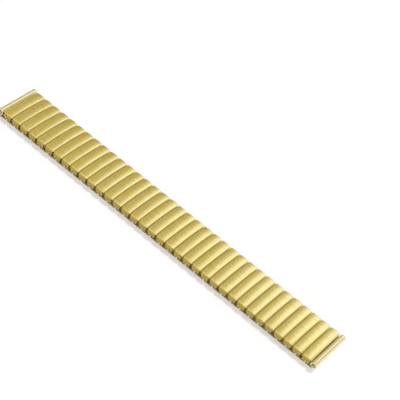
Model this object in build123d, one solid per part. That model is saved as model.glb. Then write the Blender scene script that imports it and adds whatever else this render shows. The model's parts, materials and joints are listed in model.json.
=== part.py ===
from build123d import *
import os
from math import asin, degrees, sqrt

# An expansion watch band, closed and flat on its underside.
# X runs along the band, Y across it, and Z up from the side that lies on the wrist.
# Two rows of folded sleeves are offset by half a pitch. U-shaped bows join a top sleeve to the two bottom
# sleeves under it, and a leaf spring in each sleeve presses on the legs of the bows.

# Layout of the band
pitch = 4.3                 # from one top link to the next
top_count = 35
lug_width = 20.0            # between the lugs of the watch
link_inset = 0.20           # from a lug to the side of a top link
band_height = 3.60
cap_gap = 0.10              # between neighbouring caps, closed
row_gap = 0.12              # between the bottom row and the top row
fit_gap = 0.05              # between pieces of one link

# Caps
cap_sheet = 0.20
cap_crown = 0.60            # rise of the cap across the band
cap_barrel = 0.20           # rise of the cap along the band
cap_edge_radius = 0.45
flap_bend_radius = 0.60
flap_width = 3.30

# Sleeves
sleeve_sheet = 0.15
bottom_sleeve_width = 3.75  # along the band
bottom_sleeve_height = 1.35
bottom_corner_radius = 0.30
bottom_end_inset = 0.05     # from the side of a top link to the end of a bottom link
roof_lip = 0.08             # what stays of the roof at each side of the opening for the bows
top_sleeve_height = 1.20
top_corner_radius = 0.25
seam_gap = 0.10             # where the edges of a folded sheet meet

# Connecting bows
bow_width = 0.90            # along the band
bow_strip = 0.25
bow_leg = 3.40              # how far a leg reaches into its sleeve
bow_offset = 1.15           # from the middle of a bottom link
bow_bend_radius = 0.35
bow_side_gap = 0.08         # from the web of a bow to the flap over it
bow_rest = 0.03             # from the floor of the bottom sleeve to the lower leg
bow_lift = 0.12             # from the floor of the top sleeve to the upper leg, for the tilt of the bow

# Leaf springs
leaf_sheet = 0.12
leaf_width = 2.90
leaf_inset = 0.35           # from the end of a sleeve to the end of its spring
leaf_lift = 0.13            # from a leg to the spring above it
leaf_drop = 0.03            # from the roof of a sleeve to the middle of its spring

# End pieces
tube_radius = 1.30
tube_height = 1.80          # from the underside to the middle of the tube
bar_radius = 0.95           # hole for a spring bar
lug_gap = 0.10              # from the tube's end to the lug
tube_gap = 0.10             # from the outermost top link to the tube

overrun = 1.0               # how far a cutting solid reaches past what it cuts

half_pitch = pitch / 2
hinge_count = 11            # curling joints on each side of the middle link
middle = (top_count + 1) // 2

link_width = lug_width - 2 * link_inset
cap_width = pitch - cap_gap
flap_hollow = cap_barrel * (flap_width / cap_width) ** 2   # how far the edges of a flap stand in from its middle
bow_web_outer = link_width / 2 - cap_sheet - flap_hollow - bow_side_gap
bow_web_inner = bow_web_outer - bow_strip
sleeve_length = 2 * (bow_web_inner - fit_gap)
leaf_length = sleeve_length - 2 * leaf_inset
bottom_sleeve_length = link_width - 2 * bottom_end_inset
top_floor = bottom_sleeve_height + row_gap
top_sleeve_width = cap_width - 2 * cap_sheet - 2 * fit_gap
upper_leg_low = top_floor + sleeve_sheet + bow_lift
upper_leg_high = upper_leg_low + bow_strip
lower_leg_low = sleeve_sheet + bow_rest
lower_leg_high = lower_leg_low + bow_strip
crown_radius = ((link_width / 2) ** 2 + cap_crown**2) / (2 * cap_crown)
crown_axis_height = band_height - crown_radius
lip_low = upper_leg_high + fit_gap


def closed_face(points):
    return make_face(Polyline(*points, close=True))


def section_box(low_x, high_x, low_z, high_z):
    """A rectangle in the XZ plane."""
    middle_x, middle_z = (low_x + high_x) / 2, (low_z + high_z) / 2
    place = Plane(origin=(middle_x, 0, middle_z), x_dir=(1, 0, 0), z_dir=(0, -1, 0))
    return place * Rectangle(high_x - low_x, high_z - low_z)


def rounded_section(low_x, high_x, low_z, high_z, radius):
    """A rectangle in the XZ plane with round corners."""
    middle_x, middle_z = (low_x + high_x) / 2, (low_z + high_z) / 2
    place = Plane(origin=(middle_x, 0, middle_z), x_dir=(1, 0, 0), z_dir=(0, -1, 0))
    return place * RectangleRounded(high_x - low_x, high_z - low_z, radius)


def across(section, length):
    """The section stretched across the band, the same distance to both sides."""
    return extrude(section, amount=length / 2, dir=(0, 1, 0), both=True)


def cap_outline(inset, low):
    """The cap's outline along the band at its middle, taken in by an inset."""
    half = cap_width / 2 - inset
    rise = cap_barrel
    barrel_radius = ((cap_width / 2) ** 2 + rise**2) / (2 * rise) - inset
    top = band_height - inset
    shoulder = top - barrel_radius + sqrt(barrel_radius**2 - half**2)
    sides = [Line((-half, 0, shoulder), (-half, 0, low)), Line((-half, 0, low), (half, 0, low)),
             Line((half, 0, low), (half, 0, shoulder))]
    crest = ThreePointArc((half, 0, shoulder), (0, 0, top), (-half, 0, shoulder))
    face = make_face(sides + [crest])
    corners = face.vertices().sort_by(Axis.Z)[-2:]
    return fillet(corners, cap_edge_radius - inset)


def make_cap():
    """The crowned cap of a top link, with a flap folded down at each side."""
    wall_low = top_floor
    sheet = cap_outline(0, wall_low) - cap_outline(cap_sheet, wall_low - overrun)
    crown_axis = Axis((0, 0, crown_axis_height), (1, 0, 0))
    bend_reach = link_width / 2 - flap_bend_radius
    crown_angle = degrees(asin(bend_reach / (crown_radius - flap_bend_radius)))
    crown = revolve(sheet, crown_axis, 2 * crown_angle).rotate(crown_axis, -crown_angle)
    above_lip = section_box(-cap_width, cap_width, lip_low, band_height + overrun)
    crown = crown & across(above_lip, 2 * link_width)

    strip = sheet & section_box(-flap_width / 2, flap_width / 2, band_height / 2, band_height + overrun)
    bend_axis = Axis((0, 0, band_height - flap_bend_radius), (1, 0, 0))
    turn = 90 - crown_angle
    bend = revolve(strip, bend_axis, turn).rotate(crown_axis, crown_angle)
    bend_height = crown_axis_height + sqrt((crown_radius - flap_bend_radius) ** 2 - bend_reach**2)
    upright = strip.rotate(bend_axis, turn).rotate(crown_axis, crown_angle)
    flap = extrude(upright, amount=bend_height - top_floor, dir=(0, 0, -1))
    side = bend + flap
    return crown + side + side.mirror(Plane.XZ)


def sleeve(width, length, low, height, radius, seam_height):
    """A folded sleeve, open at both ends, whose seam runs across the band at the seam height."""
    half, high = width / 2, low + height
    wall = rounded_section(-half, half, low, high, radius) - rounded_section(
        -half + sleeve_sheet, half - sleeve_sheet, low + sleeve_sheet, high - sleeve_sheet,
        radius - sleeve_sheet)
    seam = section_box(-seam_gap / 2, seam_gap / 2, seam_height - sleeve_sheet, seam_height + sleeve_sheet)
    return across(wall - seam, length)


def make_top_sleeve():
    """The sleeve under a cap. Its side walls are cut away at the ends, where a bow swings out."""
    body = sleeve(top_sleeve_width, sleeve_length, top_floor, top_sleeve_height, top_corner_radius, top_floor)
    window_low = top_floor + sleeve_sheet + bow_lift / 2
    window = section_box(-cap_width, cap_width, window_low, lip_low)
    window_depth = bow_leg + 2 * fit_gap
    cutter = extrude(window, amount=window_depth + overrun, dir=(0, 1, 0))
    cutter = cutter.moved(Location((0, sleeve_length / 2 - window_depth, 0)))
    return body - cutter - cutter.mirror(Plane.XZ)


def open_roof_ends(body, low_x, high_x):
    """The body with its roof cut away at both ends, where the webs of the bows stand up through it."""
    opening = section_box(low_x, high_x, bottom_sleeve_height - bottom_corner_radius, top_floor)
    cutter = extrude(opening, amount=link_width, dir=(0, 1, 0)).moved(Location((0, sleeve_length / 2, 0)))
    return body - cutter - cutter.mirror(Plane.XZ)


def make_bottom_sleeve():
    """The sleeve of a bottom link, smooth on the wrist side, with its seam under the top row."""
    body = sleeve(bottom_sleeve_width, bottom_sleeve_length, 0, bottom_sleeve_height, bottom_corner_radius,
                  bottom_sleeve_height)
    reach = bottom_sleeve_width / 2 - sleeve_sheet - roof_lip
    return open_roof_ends(body, -reach, reach)


def leaf(roof, leg_high):
    """A leaf spring bowed up to the roof of its sleeve, with its ends over the legs of the bows."""
    half, crest, end_low = leaf_length / 2, roof - leaf_drop, leg_high + leaf_lift
    under = ThreePointArc((0, -half, end_low), (0, 0, crest - leaf_sheet), (0, half, end_low))
    over = ThreePointArc((0, half, end_low + leaf_sheet), (0, 0, crest), (0, -half, end_low + leaf_sheet))
    ends = [Line((0, half, end_low), (0, half, end_low + leaf_sheet)),
            Line((0, -half, end_low + leaf_sheet), (0, -half, end_low))]
    return extrude(make_face([under, over] + ends), amount=leaf_width / 2, dir=(1, 0, 0), both=True)


def make_bow():
    """A bow at the +Y side, bent to a U from flat strip, with a leg in the top row and one in the bottom row."""
    tip = sleeve_length / 2 - bow_leg
    back = section_yz(tip, bow_web_outer, lower_leg_low, upper_leg_high)
    back = fillet(back.vertices().group_by(Axis.Y)[-1], bow_bend_radius)
    mouth = section_yz(tip - overrun, bow_web_inner, lower_leg_high, upper_leg_low)
    mouth = fillet(mouth.vertices().group_by(Axis.Y)[-1], bow_bend_radius - bow_strip)
    return extrude(back - mouth, amount=bow_width / 2, dir=(1, 0, 0), both=True)


def section_yz(low_y, high_y, low_z, high_z):
    """A rectangle in the YZ plane."""
    return closed_face([(0, low_y, low_z), (0, high_y, low_z), (0, high_y, high_z), (0, low_y, high_z)])


def make_end_piece():
    """The right-hand end piece, bent from one sheet: a tube for the spring bar and a tail under the last cap."""
    tail_start = half_pitch - bottom_sleeve_width / 2
    wall_x = cap_width / 2 + tube_gap
    tube_x = wall_x + tube_radius
    centre = Plane(origin=(tube_x, 0, tube_height), x_dir=(1, 0, 0), z_dir=(0, -1, 0))
    tube = across(centre * Circle(tube_radius), lug_width - 2 * lug_gap)
    tail = rounded_section(tail_start, tube_x, 0, bottom_sleeve_height, bottom_corner_radius)
    room = rounded_section(tail_start + sleeve_sheet, tube_x - sleeve_sheet, sleeve_sheet,
                           bottom_sleeve_height - sleeve_sheet, bottom_corner_radius - sleeve_sheet)
    bow_x = half_pitch - bow_offset
    lip_x = tail_start + sleeve_sheet + roof_lip
    tail = open_roof_ends(across(tail - room, bottom_sleeve_length), lip_x, 2 * bow_x - lip_x)
    hole = across(centre * Circle(bar_radius), 2 * lug_width)
    seam_low = bottom_sleeve_height / 2
    seam = across(section_box(wall_x, tube_x, seam_low, seam_low + seam_gap), 2 * lug_width)
    return tube + tail - hole - seam


cap = make_cap()
top_sleeve = make_top_sleeve()
bottom_sleeve = make_bottom_sleeve()
top_leaf = leaf(top_floor + top_sleeve_height - sleeve_sheet, upper_leg_high)
bottom_leaf = leaf(bottom_sleeve_height - sleeve_sheet, lower_leg_high)
bow = make_bow()
end_piece = make_end_piece()


def shifted(shape, x):
    return shape.moved(Location((x, 0, 0)))


def top_x(number):
    """Middle of a top link, counted from 1 at the -X end."""
    return (number - middle) * pitch


def top_link(number):
    x = top_x(number)
    return [shifted(cap, x), shifted(top_sleeve, x), shifted(top_leaf, x)]


def bow_pair(x):
    """The two bows of one crossing, one at each side of the band."""
    return [shifted(bow, x), shifted(bow.mirror(Plane.XZ), x)]


def bottom_link(number):
    """The bottom link between top link number and the next one, with its four bows."""
    x = top_x(number) + half_pitch
    return ([shifted(bottom_sleeve, x), shifted(bottom_leaf, x)] + bow_pair(x - bow_offset)
            + bow_pair(x + bow_offset))


def end_link(side):
    """The end piece of one side, -1 or +1, with its two bows."""
    x = side * (top_count - middle) * pitch
    piece = end_piece if side > 0 else end_piece.mirror(Plane.YZ)
    return [shifted(piece, x)] + bow_pair(x + side * (half_pitch - bow_offset))


def node_solids():
    """Name of each node and its solids. Where the band stays flat, a bottom link rides with a top link."""
    nodes = {"end_piece_left": end_link(-1), "end_piece_right": end_link(1)}
    for number in range(1, top_count + 1):
        steps = abs(number - middle)
        solids = top_link(number)
        name = f"top_link_{number:02d}"
        if hinge_count <= steps < middle - 1:
            outer = number - 1 if number < middle else number
            solids = solids + bottom_link(outer)
            name = f"link_pair_{number:02d}"
        nodes[name] = solids
    for number in range(middle - hinge_count, middle + hinge_count):
        nodes[f"bottom_link_{number:02d}"] = bottom_link(number)
    return nodes


os.makedirs("parts", exist_ok=True)
for name, solids in node_solids().items():
    node = Compound(children=[solid for shape in solids for solid in shape.solids()])
    export_step(node, f"parts/{name}.step")
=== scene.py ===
import json
from math import asin, atan, cos, pi, radians, sin, sqrt
import bpy
from mathutils import Matrix, Vector

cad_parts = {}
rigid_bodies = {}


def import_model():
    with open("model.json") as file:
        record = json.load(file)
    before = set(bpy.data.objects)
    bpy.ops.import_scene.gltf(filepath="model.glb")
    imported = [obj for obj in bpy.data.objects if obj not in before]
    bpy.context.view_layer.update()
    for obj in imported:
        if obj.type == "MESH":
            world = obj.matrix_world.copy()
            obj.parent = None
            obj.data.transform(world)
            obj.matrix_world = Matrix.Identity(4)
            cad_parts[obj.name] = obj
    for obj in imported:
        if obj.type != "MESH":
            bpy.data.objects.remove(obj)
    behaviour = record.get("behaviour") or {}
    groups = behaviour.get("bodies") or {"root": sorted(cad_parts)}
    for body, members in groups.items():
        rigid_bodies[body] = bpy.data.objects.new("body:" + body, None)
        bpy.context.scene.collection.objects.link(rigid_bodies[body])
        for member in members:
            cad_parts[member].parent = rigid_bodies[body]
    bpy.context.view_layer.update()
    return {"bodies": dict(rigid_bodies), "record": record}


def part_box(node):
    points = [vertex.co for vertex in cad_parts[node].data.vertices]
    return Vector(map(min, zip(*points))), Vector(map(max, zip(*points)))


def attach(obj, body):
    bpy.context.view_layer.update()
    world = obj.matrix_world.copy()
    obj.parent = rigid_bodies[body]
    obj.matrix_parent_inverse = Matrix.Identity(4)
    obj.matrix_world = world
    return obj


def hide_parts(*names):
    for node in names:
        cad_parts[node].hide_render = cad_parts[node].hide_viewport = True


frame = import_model()

# Looks of an expansion watch band. Sizes are in millimetres until a mesh is made.
# X runs along the band, Y across it, Z up from the side that lies on the wrist.
MM = 0.001
TOP_COUNT = 35
MIDDLE = (TOP_COUNT + 1) // 2
SIDES = (("front", -1), ("back", 1))      # the two long sides of the band, -Y and +Y


def node_box(node):
    low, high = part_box(node)
    return low / MM, high / MM


# Places read from the frame
cap_low, cap_high = node_box(f"top_link_{MIDDLE:02d}")
bottom_low, bottom_high = node_box(f"bottom_link_{MIDDLE:02d}")
cap_half = cap_high.x
link_half = cap_high.y
band_top = cap_high.z
top_floor = cap_low.z
half_pitch = (bottom_low.x + bottom_high.x) / 2
pitch = 2 * half_pitch
bottom_sleeve_end = bottom_high.y
upper_leg_high = bottom_high.z
end_low, end_high = node_box("end_piece_right")
tube_bore = next(m for m in frame["record"]["mounts"] if m["name"] == "spring_bar_bore_right")
tube_x, tube_z = tube_bore["pos_m"][0] / MM, tube_bore["pos_m"][2] / MM
tube_radius = end_high.x - tube_x
bar_radius = tube_bore["dims"]["r_mm"]
tube_half = end_high.y

# Sheet metal
cap_sheet = 0.20
sleeve_sheet = 0.15
leaf_sheet = 0.12
bow_strip = 0.25
cap_crown = 0.60
cap_barrel = 0.20
cap_edge_radius = 0.45
flap_bend_radius = 0.60
flap_half = 1.65
fit_gap = 0.05
row_gap = 0.12
bow_leg = 3.40
bow_half = 0.45
bow_offset = 1.15
bow_bend_radius = 0.35
bow_lift = 0.12
bow_rest = 0.03
bow_side_gap = 0.08
leaf_half = 1.45
leaf_inset = 0.35
leaf_lift = 0.13
leaf_drop = 0.03
bottom_corner_radius = 0.30
top_corner_radius = 0.20
top_sleeve_height = 1.20
seam_gap = 0.10
roof_lip = 0.08

# Soft rims of the sheets
cap_rim = 0.03
sleeve_rim = 0.02
leaf_rim = 0.02
bow_rim = 0.05
tube_rim = 0.09
weld_reach = 0.002

# Angles in degrees
rim_turn = 50
crease_turn = 38
tube_seam_angle = 236
tube_seam_half_gap = 3

# Places that follow from the sizes above
crown_radius = (link_half**2 + cap_crown**2) / (2 * cap_crown)
crown_axis = band_top - crown_radius
bend_reach = link_half - flap_bend_radius
crown_angle = asin(bend_reach / (crown_radius - flap_bend_radius))
bend_height = crown_axis + (crown_radius - flap_bend_radius) * cos(crown_angle)
crown_length = 2 * crown_radius * crown_angle
bend_length = flap_bend_radius * (pi / 2 - crown_angle)
cap_length = crown_length + 2 * (bend_length + bend_height - top_floor)
cap_narrows = (bend_reach + 0.16, link_half - 0.05)          # along Y, from full width to the flap
cap_wall_ends = (bend_reach - 0.45, bend_reach + 0.05)       # along Y, where the side walls fade out
lip_low = upper_leg_high + fit_gap
flap_hollow = cap_barrel * (flap_half / cap_half) ** 2
bow_web_outer = link_half - cap_sheet - flap_hollow - bow_side_gap
sleeve_half = bow_web_outer - bow_strip - fit_gap
bottom_sleeve_half = bottom_high.x - half_pitch
bottom_sleeve_high = top_floor - row_gap
top_sleeve_half = cap_half - cap_sheet - fit_gap
top_sleeve_high = top_floor + top_sleeve_height
lower_leg_low = sleeve_sheet + bow_rest
lower_leg_high = lower_leg_low + bow_strip


def top_x(number):
    """Middle of a top link, counted from 1 at the -X end."""
    return (number - MIDDLE) * pitch


def mix(a, b, share):
    return a + (b - a) * share


def smooth(value, start, end):
    """0 before start, 1 after end, and a soft rise between them."""
    t = min(1, max(0, (value - start) / (end - start)))
    return t * t * (3 - 2 * t)


def steps(start, end, count):
    """Count + 1 even values from start to end."""
    return [mix(start, end, i / count) for i in range(count + 1)]


def arc(cx, cz, radius, start, end, count):
    """Points on a round bend, by angles in degrees."""
    turns = [radians(turn) for turn in steps(start, end, count)]
    return [(cx + radius * cos(turn), cz + radius * sin(turn)) for turn in turns]


def new_object(name, data):
    made = bpy.data.objects.new(name, data)
    bpy.context.scene.collection.objects.link(made)
    return made


# Meshes


def outer_face(name, rows, uv, open_at):
    """The outer face of a folded sheet, without the quads that open_at leaves out."""
    width = len(rows[0])
    faces = []
    for r in range(len(rows) - 1):
        for c in range(width - 1):
            if open_at is None or not open_at(rows[r][c], rows[r + 1][c + 1]):
                a = r * width + c
                faces.append((a, a + 1, a + width + 1, a + width))
    mesh = bpy.data.meshes.new(name)
    mesh.from_pydata([Vector(p) * MM for row in rows for p in row], [], faces)
    layer = mesh.uv_layers.new(name="sheet")
    for loop in mesh.loops:
        r, c = divmod(loop.vertex_index, width)
        layer.data[loop.index].uv = uv[r][c]
    return mesh


def sheet_mesh(name, rows, thickness, rim, uv, open_at=None):
    """A folded sheet from rows of points on its outer face, with a thickness and soft rims."""
    mesh = outer_face(name, rows, uv, open_at)
    piece = new_object(name, mesh)
    piece.modifiers.new("weld", "WELD").merge_threshold = weld_reach * MM
    solid = piece.modifiers.new("thickness", "SOLIDIFY")
    solid.thickness = thickness * MM
    solid.offset = -1
    bevel = piece.modifiers.new("rims", "BEVEL")
    bevel.width = rim * MM
    bevel.segments = 2
    bevel.limit_method = "ANGLE"
    bevel.angle_limit = radians(rim_turn)
    done = bpy.data.meshes.new_from_object(piece.evaluated_get(bpy.context.evaluated_depsgraph_get()))
    bpy.data.objects.remove(piece)
    bpy.data.meshes.remove(mesh)
    done.shade_smooth()
    done.set_sharp_from_angle(angle=radians(crease_turn))
    done.name = name
    return done


def flat_uv(rows):
    """UVs in millimetres: along X, and along the rows."""
    length, uv = 0, []
    for r, row in enumerate(rows):
        middle = len(row) // 2
        if r:
            length += (Vector(row[middle]) - Vector(rows[r - 1][middle])).length
        uv.append([(p[0], length) for p in row])
    return uv


def cap_stations():
    """The cap's path across the band: place and outward normal in YZ."""
    half = []
    for angle in steps(0, crown_angle, count=16):
        y, z = crown_radius * sin(angle), crown_axis + crown_radius * cos(angle)
        half.append((y, z, sin(angle), cos(angle)))
    for angle in steps(crown_angle, pi / 2, count=10)[1:]:
        y, z = bend_reach + flap_bend_radius * sin(angle), bend_height + flap_bend_radius * cos(angle)
        half.append((y, z, sin(angle), cos(angle)))
    for z in steps(bend_height, top_floor, count=4)[1:]:
        half.append((link_half, z, 1, 0))
    return [(-y, z, -ny, nz) for y, z, ny, nz in reversed(half[1:])] + half


def cap_profile():
    """The cap's outline along the band: X and inset at full width, X on the flap, share of the wall."""
    slope = atan(2 * cap_barrel / cap_half * (cap_half - cap_edge_radius) / cap_half)
    start_x = cap_half - cap_edge_radius * (1 - sin(slope))
    start_inset = cap_barrel * (start_x / cap_half) ** 2
    flap_edge = flap_half - fit_gap
    half = []
    for x in steps(0, start_x, count=7):
        half.append((x, cap_barrel * (x / cap_half) ** 2, x / start_x * flap_edge, 0))
    for angle in steps(slope, pi / 2, count=6)[1:]:
        x = cap_half - cap_edge_radius * (1 - sin(angle))
        inset = start_inset + cap_edge_radius * (cos(slope) - cos(angle))
        half.append((x, inset, flap_edge + fit_gap * angle / pi, 0))
    for share in (0.5, 1):
        half.append((cap_half, half[-1][1], flap_half - fit_gap * (1 - share) / 4, share))
    return [(-x, inset, -flap_x, wall) for x, inset, flap_x, wall in reversed(half[1:])] + half


def cap_mesh():
    """A crowned cap with round long edges, side walls and a flap folded down at each side."""
    rows, uv, length, last = [], [], 0, None
    profile = cap_profile()
    for y, z, ny, nz in cap_stations():
        full = 1 - smooth(abs(y), *cap_narrows)
        walled = 1 - smooth(abs(y), *cap_wall_ends)
        row = []
        for x, inset, flap_x, wall in profile:
            px = mix(flap_x, x, full)
            depth = mix(cap_barrel * (flap_x / cap_half) ** 2, inset, full)
            py, pz = y - ny * depth, z - nz * depth
            row.append((px, py, pz - wall * walled * max(0, pz - lip_low)))
        rows.append(row)
        if last:
            length += sqrt((y - last[0]) ** 2 + (z - last[1]) ** 2)
        last = (y, z)
        uv.append([(p[0], length) for p in row])
    return sheet_mesh("cap", rows, cap_sheet, cap_rim, uv)


def ring(half, low, high, radius, seam_at_top, levels=()):
    """A round-cornered rectangle in XZ, clockwise from one edge of its seam to the other."""
    right, left, top, bottom = half - radius, radius - half, high - radius, low + radius
    right_side = arc(right, top, radius, 90, 0, count=4)
    right_side += [(half, z) for z in sorted(levels, reverse=True)]
    right_side += arc(right, bottom, radius, 0, -90, count=4)
    left_side = arc(left, bottom, radius, -90, -180, count=4)
    left_side += [(-half, z) for z in sorted(levels)]
    left_side += arc(left, top, radius, -180, -270, count=4)
    edge = seam_gap / 2
    if seam_at_top:
        return [(edge, high)] + right_side + left_side + [(-edge, high)]
    return [(-edge, low)] + left_side + right_side + [(edge, low)]


def sleeve_rows(outline, ends):
    return [[(x, y, z) for x, z in outline] for y in ends]


def ring_uv(rows):
    """UVs of a drawn sleeve: along the band's width, and round the sleeve."""
    return [[(p[1], c / len(row)) for c, p in enumerate(row)] for row in rows]


def bottom_stations():
    """Places across a bottom link, with one at each end of its roof."""
    return [-bottom_sleeve_end] + steps(-sleeve_half, sleeve_half, count=8) + [bottom_sleeve_end]


def roof_opening(low_x, high_x):
    """Where the roof is cut away at the ends, so that the webs of the bows stand up through it."""

    def in_opening(a, b):
        x, y, z = ((p + q) / 2 for p, q in zip(a, b))
        in_roof = z > bottom_sleeve_high - bottom_corner_radius
        return in_roof and abs(y) > sleeve_half and low_x < x < high_x

    return in_opening


def bottom_sleeve_mesh():
    outline = ring(bottom_sleeve_half, 0, bottom_sleeve_high, bottom_corner_radius, seam_at_top=True)
    rows = sleeve_rows(outline, bottom_stations())
    reach = bottom_sleeve_half - sleeve_sheet - roof_lip
    opening = roof_opening(-reach, reach)
    return sheet_mesh("bottom_sleeve", rows, sleeve_sheet, sleeve_rim, ring_uv(rows), opening)


def top_sleeve_mesh():
    """The sleeve under a cap. Its side walls are cut away at the ends, where a bow slides out."""
    window_low = top_floor + sleeve_sheet + bow_lift / 2
    window_y = sleeve_half - bow_leg - 2 * fit_gap
    outline = ring(top_sleeve_half, top_floor, top_sleeve_high, top_corner_radius, seam_at_top=False,
                   levels=(window_low, lip_low))
    rows = sleeve_rows(outline, [-sleeve_half, -window_y, 0, window_y, sleeve_half])

    def in_window(a, b):
        x, y, z = ((p + q) / 2 for p, q in zip(a, b))
        on_side = abs(abs(x) - top_sleeve_half) < fit_gap
        return on_side and abs(y) > window_y and window_low < z < lip_low

    return sheet_mesh("top_sleeve", rows, sleeve_sheet, sleeve_rim, ring_uv(rows), in_window)


def leaf_mesh(name, roof, leg_high):
    """A leaf spring bowed up to the roof of its sleeve, with its ends over the legs of the bows."""
    half = sleeve_half - leaf_inset
    crest, end = roof - leaf_drop, leg_high + leaf_lift + leaf_sheet
    rows = []
    for y in steps(-half, half, count=16):
        z = mix(crest, end, (y / half) ** 2)
        rows.append([(x, y, z) for x in steps(-leaf_half, leaf_half, count=4)])
    return sheet_mesh(name, rows, leaf_sheet, leaf_rim, flat_uv(rows))


def bow_mesh():
    """A bow at the +Y side, bent to a U from flat strip."""
    tip, bend = sleeve_half - bow_leg, bow_web_outer - bow_bend_radius
    middle = mix(tip, bend, 0.5)
    high_bend, low_bend = upper_leg_high - bow_bend_radius, lower_leg_low + bow_bend_radius
    path = [(tip, upper_leg_high), (middle, upper_leg_high)]
    path += arc(bend, high_bend, bow_bend_radius, 90, 0, count=6)
    path += [(bow_web_outer, z) for z in steps(high_bend, low_bend, count=6)[1:-1]]
    path += arc(bend, low_bend, bow_bend_radius, 0, -90, count=6)
    path += [(middle, lower_leg_low), (tip, lower_leg_low)]
    rows = [[(x, y, z) for x in steps(-bow_half, bow_half, count=2)] for y, z in path]
    return sheet_mesh("bow", rows, bow_strip, bow_rim, flat_uv(rows))


def tube_mesh():
    """The rolled tube for the spring bar, at the +X end. Its seam faces the band, low down."""
    start, end = tube_seam_angle - tube_seam_half_gap, tube_seam_angle + tube_seam_half_gap - 360
    outline = arc(tube_x, tube_z, tube_radius, start, end, count=64)
    rows = sleeve_rows(outline, steps(-tube_half, tube_half, count=10))
    return sheet_mesh("tube", rows, tube_radius - bar_radius, tube_rim, ring_uv(rows))


def tail_mesh():
    """The tail of the end piece, folded under the outermost top link."""
    low_x, high, r = end_low.x, bottom_sleeve_high, bottom_corner_radius
    meets_x = tube_x - sqrt(tube_radius**2 - (tube_z - high) ** 2) + sleeve_sheet
    lip_x = low_x + sleeve_sheet + roof_lip
    bow_x = top_x(TOP_COUNT) + half_pitch - bow_offset
    far_lip_x = 2 * bow_x - lip_x
    outline = [(tube_x, tube_z - tube_radius + sleeve_sheet)]
    for cx, cz, start in ((tube_x - r, r, 0), (low_x + r, r, -90), (low_x + r, high - r, -180)):
        outline += arc(cx, cz, r, start, start - 90, count=5)
    outline += [(far_lip_x, high), (meets_x, high)]
    rows = sleeve_rows(outline, bottom_stations())
    opening = roof_opening(lip_x, far_lip_x)
    return sheet_mesh("tail", rows, sleeve_sheet, sleeve_rim, ring_uv(rows), opening)


# Colours of the metal, as linear red, green and blue
GOLD, GOLD_PALE = (0.98, 0.79, 0.31), (0.96, 0.80, 0.35)
BRUSH_LINE = (0.74, 0.55, 0.17)
# Painted highlight: a paler, whiter gold on the round long edges of the caps makes their highlights look
# whiter. Their polish is in the roughness.
EDGE_GOLD_PAINTED_HIGHLIGHT = (0.95, 0.80, 0.36)
# Painted shade: a darker, deeper gold on the flaps at the sides of the caps stands in for their shade.
FLAP_PAINTED_SHADE = (0.52, 0.40, 0.10)
TUBE_GOLD, TUBE_GOLD_PALE = (1.0, 0.89, 0.58), (0.99, 0.90, 0.62)
# Painted light: a near-white colour on the wall of the hole for the spring bar makes the hole read pale
# instead of in shade.
BORE_PAINTED_LIGHT = (0.95, 0.93, 0.86)

# Finish of the metal
SATIN_ROUGHNESS = 0.29
EDGE_ROUGHNESS = 0.20
BORE_ROUGHNESS = 0.75
EDGE_POLISH_AND_PAINTED_HIGHLIGHT = (1.35, 1.85)              # millimetres from the middle of a cap, along the band: polish and a painted highlight colour
BORE_FADE = (0.02, 0.10)                  # millimetres outside the hole for the spring bar

# Sockets of a colour Mix node
MIX_SHARE, MIX_FIRST, MIX_SECOND, MIX_RESULT = 0, 6, 7, 2


def material(name):
    made = bpy.data.materials.new(name)
    made.use_nodes = True
    tree = made.node_tree
    return made, tree, tree.nodes["Principled BSDF"]


def node(tree, kind, **settings):
    made = tree.nodes.new(kind)
    for key, value in settings.items():
        setattr(made, key, value)
    return made


def object_noise(tree, scale, detail=3.0):
    """Noise in the piece's own frame. The scale is in waves per millimetre along X, Y and Z."""
    place = node(tree, "ShaderNodeTexCoord")
    stretch = node(tree, "ShaderNodeMapping")
    stretch.inputs["Scale"].default_value = [s / MM for s in scale]
    noise = node(tree, "ShaderNodeTexNoise")
    noise.inputs["Scale"].default_value = 1.0
    noise.inputs["Detail"].default_value = detail
    tree.links.new(place.outputs["Object"], stretch.inputs["Vector"])
    tree.links.new(stretch.outputs["Vector"], noise.inputs["Vector"])
    return noise.outputs["Fac"]


def ranged(tree, value, low, high, to_low, to_high):
    made = node(tree, "ShaderNodeMapRange", interpolation_type="SMOOTHSTEP")
    for socket, number in (("From Min", low), ("From Max", high), ("To Min", to_low), ("To Max", to_high)):
        made.inputs[socket].default_value = number
    tree.links.new(value, made.inputs["Value"])
    return made.outputs["Result"]


def patches(tree, scale, detail):
    """0 to 1 in soft patches."""
    return ranged(tree, object_noise(tree, scale, detail), 0.3, 0.7, 0, 1)


def colour_mix(tree, share, first, second):
    made = node(tree, "ShaderNodeMix", data_type="RGBA")
    for socket, colour in ((made.inputs[MIX_FIRST], first), (made.inputs[MIX_SECOND], second)):
        if isinstance(colour, tuple):
            socket.default_value = (*colour, 1)
        else:
            tree.links.new(colour, socket)
    tree.links.new(share, made.inputs[MIX_SHARE])
    return made.outputs[MIX_RESULT]


def colour_times(tree, first, second):
    made = node(tree, "ShaderNodeMix", data_type="RGBA", blend_type="MULTIPLY")
    made.inputs[MIX_SHARE].default_value = 1
    tree.links.new(first, made.inputs[MIX_FIRST])
    tree.links.new(second, made.inputs[MIX_SECOND])
    return made.outputs[MIX_RESULT]


def maths(tree, operation, a, b=0):
    made = node(tree, "ShaderNodeMath", operation=operation)
    for socket, value in ((made.inputs[0], a), (made.inputs[1], b)):
        if isinstance(value, (int, float)):
            socket.default_value = value
        else:
            tree.links.new(value, socket)
    return made.outputs[0]


def times(tree, a, b):
    return maths(tree, "MULTIPLY", a, b)


def separate(tree, vector):
    """The X, Y and Z of a vector."""
    parts = node(tree, "ShaderNodeSeparateXYZ")
    tree.links.new(vector, parts.inputs["Vector"])
    return (parts.outputs[axis] for axis in "XYZ")


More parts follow.
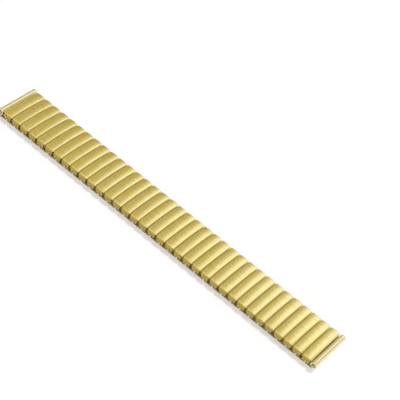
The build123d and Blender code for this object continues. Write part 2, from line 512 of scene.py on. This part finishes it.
def sheet_place(tree):
    """Millimetres along the band from the middle of a cap, and round it from the edge of one flap."""
    along, round_cap, _ = separate(tree, node(tree, "ShaderNodeUVMap", uv_map="sheet").outputs["UV"])
    return along, round_cap


def along_sheet(tree, shader):
    """Points the brushing along the U direction of the sheet."""
    tangent = node(tree, "ShaderNodeTangent", direction_type="UV_MAP", uv_map="sheet")
    tree.links.new(tangent.outputs["Tangent"], shader.inputs["Tangent"])


def bump(tree, shader, height, strength, distance):
    made = node(tree, "ShaderNodeBump")
    made.inputs["Distance"].default_value = distance * MM
    if isinstance(strength, (int, float)):
        made.inputs["Strength"].default_value = strength
    else:
        tree.links.new(strength, made.inputs["Strength"])
    tree.links.new(height, made.inputs["Height"])
    tree.links.new(made.outputs["Normal"], shader.inputs["Normal"])


def rim_mask(tree):
    """0 on the middle of a cap, 1 on its round long edges, which are polished and get a painted highlight
    colour.
    """
    along, _ = sheet_place(tree)
    return ranged(tree, maths(tree, "ABSOLUTE", along), *EDGE_POLISH_AND_PAINTED_HIGHLIGHT, 0, 1)


def flap_painted_shade_mask(tree):
    """0 on the crown of a cap, 1 on its two flaps, where painted shade darkens the gold."""
    _, round_cap = sheet_place(tree)
    from_middle = maths(tree, "ABSOLUTE", maths(tree, "SUBTRACT", round_cap, cap_length / 2))
    crown_end = crown_length / 2
    return ranged(tree, from_middle, crown_end, crown_end + 1.4 * flap_bend_radius, 0, 1)


def satin_gold():
    """Gold-tone cap: brushed along the band on top, polished on its round long edges. The edges also get a
    paler gold, which is a painted highlight, and the flaps get a darker gold, which is painted shade.
    """
    made, tree, shader = material("satin_gold")
    shader.inputs["Metallic"].default_value = 1
    shader.inputs["Anisotropic"].default_value = 0.6
    shader.inputs["Anisotropic Rotation"].default_value = 0.25
    along_sheet(tree, shader)
    rim = rim_mask(tree)
    streaks = object_noise(tree, (0.13, 3.4, 3.4))
    fine = object_noise(tree, (0.35, 16.0, 16.0), detail=2.0)
    tone = colour_mix(tree, patches(tree, (0.25, 0.18, 0.3), detail=2.0), GOLD, GOLD_PALE)
    brushed = colour_mix(tree, ranged(tree, streaks, 0.38, 0.62, 0, 0.5), tone, BRUSH_LINE)
    # The paler gold on the round long edges is a painted highlight. The polish itself is the lower
    # roughness below.
    polished = colour_mix(tree, rim, brushed, EDGE_GOLD_PAINTED_HIGHLIGHT)
    # The flaps take the darker gold, which is painted shade.
    tree.links.new(colour_mix(tree, flap_painted_shade_mask(tree), polished, FLAP_PAINTED_SHADE), shader.inputs["Base Color"])
    rough = colour_mix(tree, rim, (SATIN_ROUGHNESS,) * 3, (EDGE_ROUGHNESS,) * 3)
    tree.links.new(times(tree, rough, ranged(tree, fine, 0.2, 0.8, 0.85, 1.2)), shader.inputs["Roughness"])
    lines = maths(tree, "ADD", streaks, fine)
    bump(tree, shader, lines, strength=ranged(tree, rim, 0, 1, 0.5, 0.08), distance=0.012)
    return made


def bore_mask(tree):
    """1 on the wall of the hole for the spring bar, 0 on the rest of a tube."""
    x, _, z = separate(tree, node(tree, "ShaderNodeTexCoord").outputs["Object"])
    x = maths(tree, "SUBTRACT", maths(tree, "ABSOLUTE", x), tube_x * MM)
    z = maths(tree, "SUBTRACT", z, tube_z * MM)
    reach = maths(tree, "SQRT", maths(tree, "ADD", times(tree, x, x), times(tree, z, z)))
    start, end = ((bar_radius + outside) * MM for outside in BORE_FADE)
    return ranged(tree, reach, start, end, 1, 0)


def polished_gold():
    """The rolled end tubes: bright outside, with fine handling marks round them, and dull in the hole,
    whose near-white colour is painted light that lifts the hole's shade.
    """
    made, tree, shader = material("polished_gold")
    shader.inputs["Metallic"].default_value = 0.9
    marks = object_noise(tree, (3.0, 9.0, 3.0))
    bore = bore_mask(tree)
    bright = colour_mix(tree, patches(tree, (0.4, 0.25, 0.4), detail=2.0), TUBE_GOLD, TUBE_GOLD_PALE)
    # The wall of the hole takes the near-white colour, which is painted light.
    tree.links.new(colour_mix(tree, bore, bright, BORE_PAINTED_LIGHT), shader.inputs["Base Color"])
    rough = ranged(tree, marks, 0.3, 0.8, 0.28, 0.36)
    dull = times(tree, bore, BORE_ROUGHNESS)
    tree.links.new(maths(tree, "MAXIMUM", rough, dull), shader.inputs["Roughness"])
    bump(tree, shader, marks, strength=0.04, distance=0.006)
    return made


def drawn_sheet(name, light, dark, roughness, metallic=1):
    """Plain drawn sheet: faint lines along the sleeve and duller patches."""
    made, tree, shader = material(name)
    shader.inputs["Metallic"].default_value = metallic
    lines = object_noise(tree, (7.0, 0.12, 7.0))
    worn = colour_mix(tree, patches(tree, (0.6, 0.4, 0.6), detail=3.0), light, dark)
    tree.links.new(worn, shader.inputs["Base Color"])
    rough = ranged(tree, lines, 0.25, 0.8, roughness * 0.8, roughness * 1.3)
    tree.links.new(rough, shader.inputs["Roughness"])
    bump(tree, shader, lines, strength=0.35, distance=0.010)
    return made


CAP = satin_gold()
TUBE = polished_gold()
TOP_SLEEVE = drawn_sheet("top_sleeve_sheet", (0.62, 0.50, 0.18), (0.48, 0.39, 0.14), roughness=0.38)
BOTTOM_SLEEVE = drawn_sheet("bottom_sleeve_sheet", (0.88, 0.74, 0.36), (0.78, 0.64, 0.30), roughness=0.50,
                            metallic=0.5)
BOW = drawn_sheet("bow_strip", (0.90, 0.78, 0.48), (0.78, 0.66, 0.38), roughness=0.42, metallic=0.5)
LEAF = drawn_sheet("spring_steel", (0.56, 0.55, 0.52), (0.44, 0.43, 0.40), roughness=0.34)


# Assembly


def top_body(number):
    pair = f"link_pair_{number:02d}"
    return pair if pair in frame["bodies"] else f"top_link_{number:02d}"


def bottom_body(number):
    """The body of the bottom link between a top link and the next one."""
    own = f"bottom_link_{number:02d}"
    return own if own in frame["bodies"] else top_body(number if number >= MIDDLE else number + 1)


def add(name, mesh, finish, place, body):
    """A copy of the mesh as a piece of its own, with its place in its mesh. It rides with its body."""
    made = mesh.copy()
    made.transform(place)
    if place.determinant() < 0:
        made.flip_normals()
    made.materials.clear()
    made.materials.append(finish)
    piece = new_object(name, made)
    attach(piece, body)
    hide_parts(body)


def shift(x):
    return Matrix.Translation((x * MM, 0, 0))


def sway(number, x):
    """How a cap sits on its sleeve, up to 0.7 degrees off level, each in its own way."""
    about_y = radians(0.45 * sin(2.3 * number) + 0.25 * sin(0.7 * number + 1.1))
    about_x = radians(0.15 * sin(3.1 * number + 0.4))
    seat = Vector((x * MM, 0, band_top * MM))
    turn = Matrix.Rotation(about_y, 4, "Y") @ Matrix.Rotation(about_x, 4, "X")
    return Matrix.Translation(seat) @ turn @ Matrix.Translation(-seat) @ shift(x)


meshes = {
    "cap": cap_mesh(),
    "top_sleeve": top_sleeve_mesh(),
    "bottom_sleeve": bottom_sleeve_mesh(),
    "bow": bow_mesh(),
    "tube": tube_mesh(),
    "tail": tail_mesh(),
    "top_leaf": leaf_mesh("top_leaf", top_sleeve_high - sleeve_sheet, upper_leg_high),
    "bottom_leaf": leaf_mesh("bottom_leaf", bottom_sleeve_high - sleeve_sheet, lower_leg_high),
}


def add_bows(prefix, x, body):
    """The two bows of one crossing, one at each side of the band. They ride with the lower link."""
    for word, side in SIDES:
        place = shift(x) @ Matrix.Diagonal((1, side, 1, 1))
        add(f"{prefix}_{word}", meshes["bow"], BOW, place, body)


def add_top_links():
    for number in range(1, TOP_COUNT + 1):
        x, body = top_x(number), top_body(number)
        add(f"cap_{number:02d}", meshes["cap"], CAP, sway(number, x), body)
        for kind, finish in (("top_sleeve", TOP_SLEEVE), ("top_leaf", LEAF)):
            add(f"{kind}_{number:02d}", meshes[kind], finish, shift(x), body)


def add_bottom_links():
    for number in range(1, TOP_COUNT):
        x, body = top_x(number) + half_pitch, bottom_body(number)
        for kind, finish in (("bottom_sleeve", BOTTOM_SLEEVE), ("bottom_leaf", LEAF)):
            add(f"{kind}_{number:02d}", meshes[kind], finish, shift(x), body)
        outward = 1 if number >= MIDDLE else -1
        add_bows(f"bow_{number:02d}_inner", x - outward * bow_offset, body)
        add_bows(f"bow_{number:02d}_outer", x + outward * bow_offset, body)


def add_end_pieces():
    for word, side, last in (("left", -1, 1), ("right", 1, TOP_COUNT)):
        body = f"end_piece_{word}"
        place = Matrix.Diagonal((side, 1, 1, 1))
        for kind, finish in (("tube", TUBE), ("tail", BOTTOM_SLEEVE)):
            add(f"{kind}_{word}", meshes[kind], finish, place, body)
        add_bows(f"bow_{word}_end", top_x(last) + side * (half_pitch - bow_offset), body)


add_top_links()
add_bottom_links()
add_end_pieces()


# Studio

GROUND_REACH = 3000
GROUND_DROP = 0.02
GROUND_COLOURS = ((0.92, 0.92, 0.92), (0.95, 0.94, 0.94))
GROUND_LIFT = 0.36
LIFT_COLOUR = (1.0, 0.985, 0.995)
LAMP_STRENGTH = 1.20
LAMP_WIDTH = 8                            # degrees
LAMP_TOWARD = (0.10, 0.60, 0.79)
WHITE = (1.0, 1.0, 1.0)
AMBIENT = (0.40, 0.40, 0.40)
CEILING = (1.12, 1.12, 0.90)
DIM_TINT = (1.0, 0.93, 0.54)
PANEL_TINT = (1.0, 1.10, 1.32)

# Brightness of the room in the metal: degrees from +Y toward +X, and grey
ROOM_HIGH = ((-180, 0.30), (-90, 0.25), (-62, 0.50), (-50, 0.58), (-38, 0.50), (-32, 0.53), (-27, 0.58),
             (-22, 0.65), (-17, 0.86), (-12, 1.16), (-8, 1.28), (3, 1.26), (11, 0.80), (25, 0.56),
             (45, 0.50), (90, 0.60), (180, 0.30))
ROOM_LOW = ((-180, 0.30), (-90, 0.15), (-62, 0.48), (-50, 0.56), (-36, 0.50), (-25, 0.34), (-15, 0.40),
            (-4, 1.0), (40, 1.0), (100, 0.95), (180, 0.30))
ROOM_FOOT = ((-180, 0.07), (30, 0.07), (60, 0.90), (150, 0.90), (180, 0.07))

# Heights where the parts of the room meet, as the sine of the angle above the ground
FOOT_TO_LOW = (0.05, 0.25)
LOW_TO_HIGH = (0.30, 0.48)
WALL_TO_CEILING = (0.45, 0.65)


def background_rays(tree):
    """1 for the rays that show the background: straight to the camera, and by way of metal or glass."""
    rays = node(tree, "ShaderNodeLightPath")
    mirrored = maths(tree, "MAXIMUM", rays.outputs["Is Glossy Ray"], rays.outputs["Is Transmission Ray"])
    return maths(tree, "MAXIMUM", rays.outputs["Is Camera Ray"], mirrored)


def pale_floor():
    """White ground that keeps a light shadow of the band, as white in the metal as it is to the camera."""
    reach, low = GROUND_REACH * MM, -GROUND_DROP * MM
    corners = [(-reach, -reach, low), (reach, -reach, low), (reach, reach, low), (-reach, reach, low)]
    mesh = bpy.data.meshes.new("ground")
    mesh.from_pydata(corners, [], [(0, 1, 2, 3)])
    ground = new_object("ground", mesh)
    made, tree, shader = material("ground_white")
    tree.nodes.remove(shader)
    paper = node(tree, "ShaderNodeBsdfDiffuse")
    grain = object_noise(tree, (0.02, 0.02, 0.02), detail=2.0)
    tree.links.new(colour_mix(tree, grain, *GROUND_COLOURS), paper.inputs["Color"])
    lift = node(tree, "ShaderNodeEmission")
    lift.inputs["Color"].default_value = (*LIFT_COLOUR, 1)
    tree.links.new(times(tree, background_rays(tree), GROUND_LIFT), lift.inputs["Strength"])
    both = node(tree, "ShaderNodeAddShader")
    tree.links.new(paper.outputs[0], both.inputs[0])
    tree.links.new(lift.outputs[0], both.inputs[1])
    tree.links.new(both.outputs[0], tree.nodes["Material Output"].inputs["Surface"])
    mesh.materials.append(made)


def room_ramp(tree, turn, stops):
    """Grey by the direction round the room."""
    ramp = node(tree, "ShaderNodeValToRGB")
    ramp.color_ramp.interpolation = "EASE"
    tree.links.new(turn, ramp.inputs["Fac"])
    elements = ramp.color_ramp.elements
    while len(elements) < len(stops):
        elements.new(0.5)
    for k, (angle, _) in enumerate(stops):
        elements[k].position = (angle + 180) / 360
    for k, (_, grey) in enumerate(stops):
        elements[k].color = (grey, grey, grey, 1)
    return ramp.outputs["Color"]


def studio_room(tree):
    """The room in the metal: bright at the back right, dimmer at the left."""
    x, y, z = separate(tree, node(tree, "ShaderNodeTexCoord").outputs["Generated"])
    turn = maths(tree, "ADD", times(tree, maths(tree, "ARCTAN2", x, y), 0.5 / pi), 0.5)
    high, low, foot = (room_ramp(tree, turn, stops) for stops in (ROOM_HIGH, ROOM_LOW, ROOM_FOOT))
    grey = colour_mix(tree, ranged(tree, z, *LOW_TO_HIGH, 0, 1), low, high)
    grey = colour_mix(tree, ranged(tree, z, *FOOT_TO_LOW, 0, 1), foot, grey)
    tint = colour_mix(tree, ranged(tree, grey, 0.5, 1.05, 0, 1), DIM_TINT, PANEL_TINT)
    in_front = ranged(tree, y, 0.05, 0.25, 1, 0)
    ceiling = times(tree, in_front, ranged(tree, z, *WALL_TO_CEILING, 0, 1))
    return colour_mix(tree, ceiling, colour_times(tree, grey, tint), CEILING)


def studio_world():
    """White to the camera, a room in the metal, and even light on what isn't metal."""
    world = bpy.data.worlds.new("studio")
    bpy.context.scene.world = world
    world.use_nodes = True
    tree = world.node_tree
    rays = node(tree, "ShaderNodeLightPath")
    soft = colour_mix(tree, rays.outputs["Is Glossy Ray"], AMBIENT, studio_room(tree))
    straight = maths(tree, "MAXIMUM", rays.outputs["Is Camera Ray"], rays.outputs["Is Transmission Ray"])
    tree.links.new(colour_mix(tree, straight, soft, WHITE), tree.nodes["Background"].inputs["Color"])


def shadow_lamp():
    """A lamp high on the far side, whose short shadow falls to the near side of the band."""
    data = bpy.data.lights.new("shadow_lamp", "SUN")
    data.energy, data.angle = LAMP_STRENGTH, radians(LAMP_WIDTH)
    lamp = new_object("shadow_lamp", data)
    lamp.rotation_euler = Vector(LAMP_TOWARD).to_track_quat("Z", "Y").to_euler()
    lamp.visible_glossy = False


def photo_camera():
    """A camera where the photograph was taken from. Lengths are in millimetres."""
    azimuth, elevation, roll = radians(21.964), radians(42.897), radians(-23.036)
    distance, target, focal = 561.1, Vector((0.04, 21.46, 0)), 132.85
    back = Vector((cos(elevation) * sin(azimuth), -cos(elevation) * cos(azimuth), sin(elevation)))
    level = (-back).cross(Vector((0, 0, 1))).normalized()
    down = (-back).cross(level)
    right = cos(roll) * level + sin(roll) * down
    up = sin(roll) * level - cos(roll) * down
    data = bpy.data.cameras.new("photo")
    data.sensor_width, data.lens = 36, focal
    data.clip_start, data.clip_end = 0.01, 20
    camera = new_object("photo", data)
    turn = Matrix((right, up, back)).transposed().to_4x4()
    camera.matrix_world = Matrix.Translation((target + back * distance) * MM) @ turn
    bpy.context.scene.camera = camera


pale_floor()
studio_world()
shadow_lamp()
photo_camera()
bpy.context.scene.view_settings.view_transform = "Standard"
